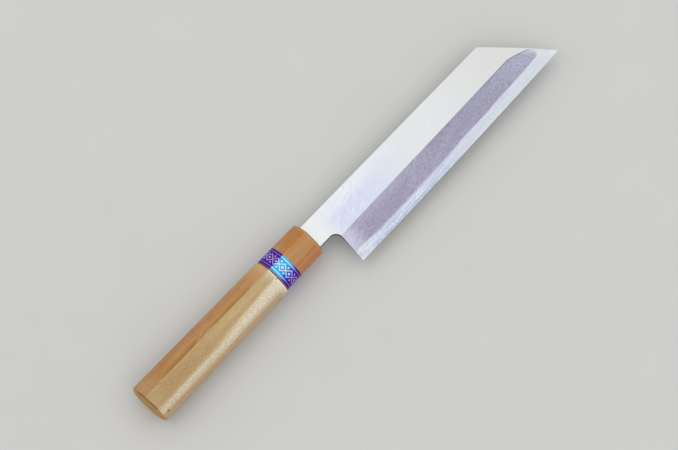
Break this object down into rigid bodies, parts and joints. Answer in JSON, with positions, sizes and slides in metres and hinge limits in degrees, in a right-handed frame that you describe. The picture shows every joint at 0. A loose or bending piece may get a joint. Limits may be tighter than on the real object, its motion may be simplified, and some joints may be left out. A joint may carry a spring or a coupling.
{
  "type": "peeling knife",
  "caption": "Right-handed single-bevel kitchen knife with a nearly straight edge and a slanted end, on a ridged wooden handle, for peeling and fine cutting of vegetables.",
  "frame": {"origin": "centre of the flat butt face, on the handle's axis", "axes": "+X along the handle towards the tip, +Y towards the spine of the blade, +Z out of the bevelled face"},
  "size_m": [0.3167, 0.0452, 0.0216],
  "materials": {
    "clad_iron": "satin flat, hazy grey bevel",
    "hard_steel": "bright fine-ground steel",
    "ferrule_resin": "smooth tan moulded resin",
    "printed_foil": "metallic violet to cyan print",
    "handle_wood": "sanded, lightly waxed pale wood",
    "bedding": "dark filler"
  },
  "bodies": {
    "root": {"blade_body": "clad_iron", "edge_steel": "hard_steel", "ferrule": "ferrule_resin", "label_band": "printed_foil", "handle_body": "handle_wood", "tang_resin": "bedding"}
  },
  "joints": []
}
